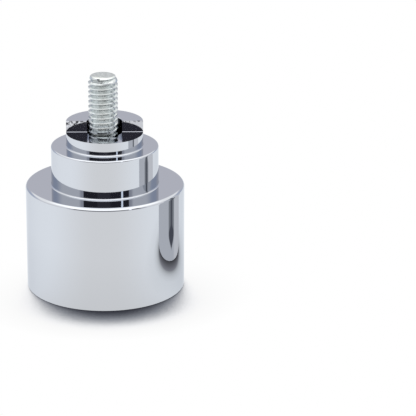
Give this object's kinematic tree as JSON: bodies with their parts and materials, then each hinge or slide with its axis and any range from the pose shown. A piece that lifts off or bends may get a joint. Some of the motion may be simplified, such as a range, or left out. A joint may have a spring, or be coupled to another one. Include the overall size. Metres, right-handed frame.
{
  "type": "bar end weight",
  "caption": "Turned and chrome plated end weight for a motorbike handlebar, with a collar, a half-lap boss and a loose M6 clamping screw.",
  "frame": {"origin": "centre of the outer face, on the axis of the weight", "axes": "+Z along the axis into the handlebar, so the object stands on its outer face; -Y is the side on which the boss is milled down"},
  "size_m": [0.032, 0.032, 0.044],
  "materials": {
    "chrome_plate": "mirror bright chrome plating, with fine milling marks on the lap of the boss",
    "zinc_plate": "bright zinc plating, slightly dull, with dark thread roots"
  },
  "bodies": {
    "root": {"end_weight": "chrome_plate", "clamp_screw": "zinc_plate"}
  },
  "joints": []
}
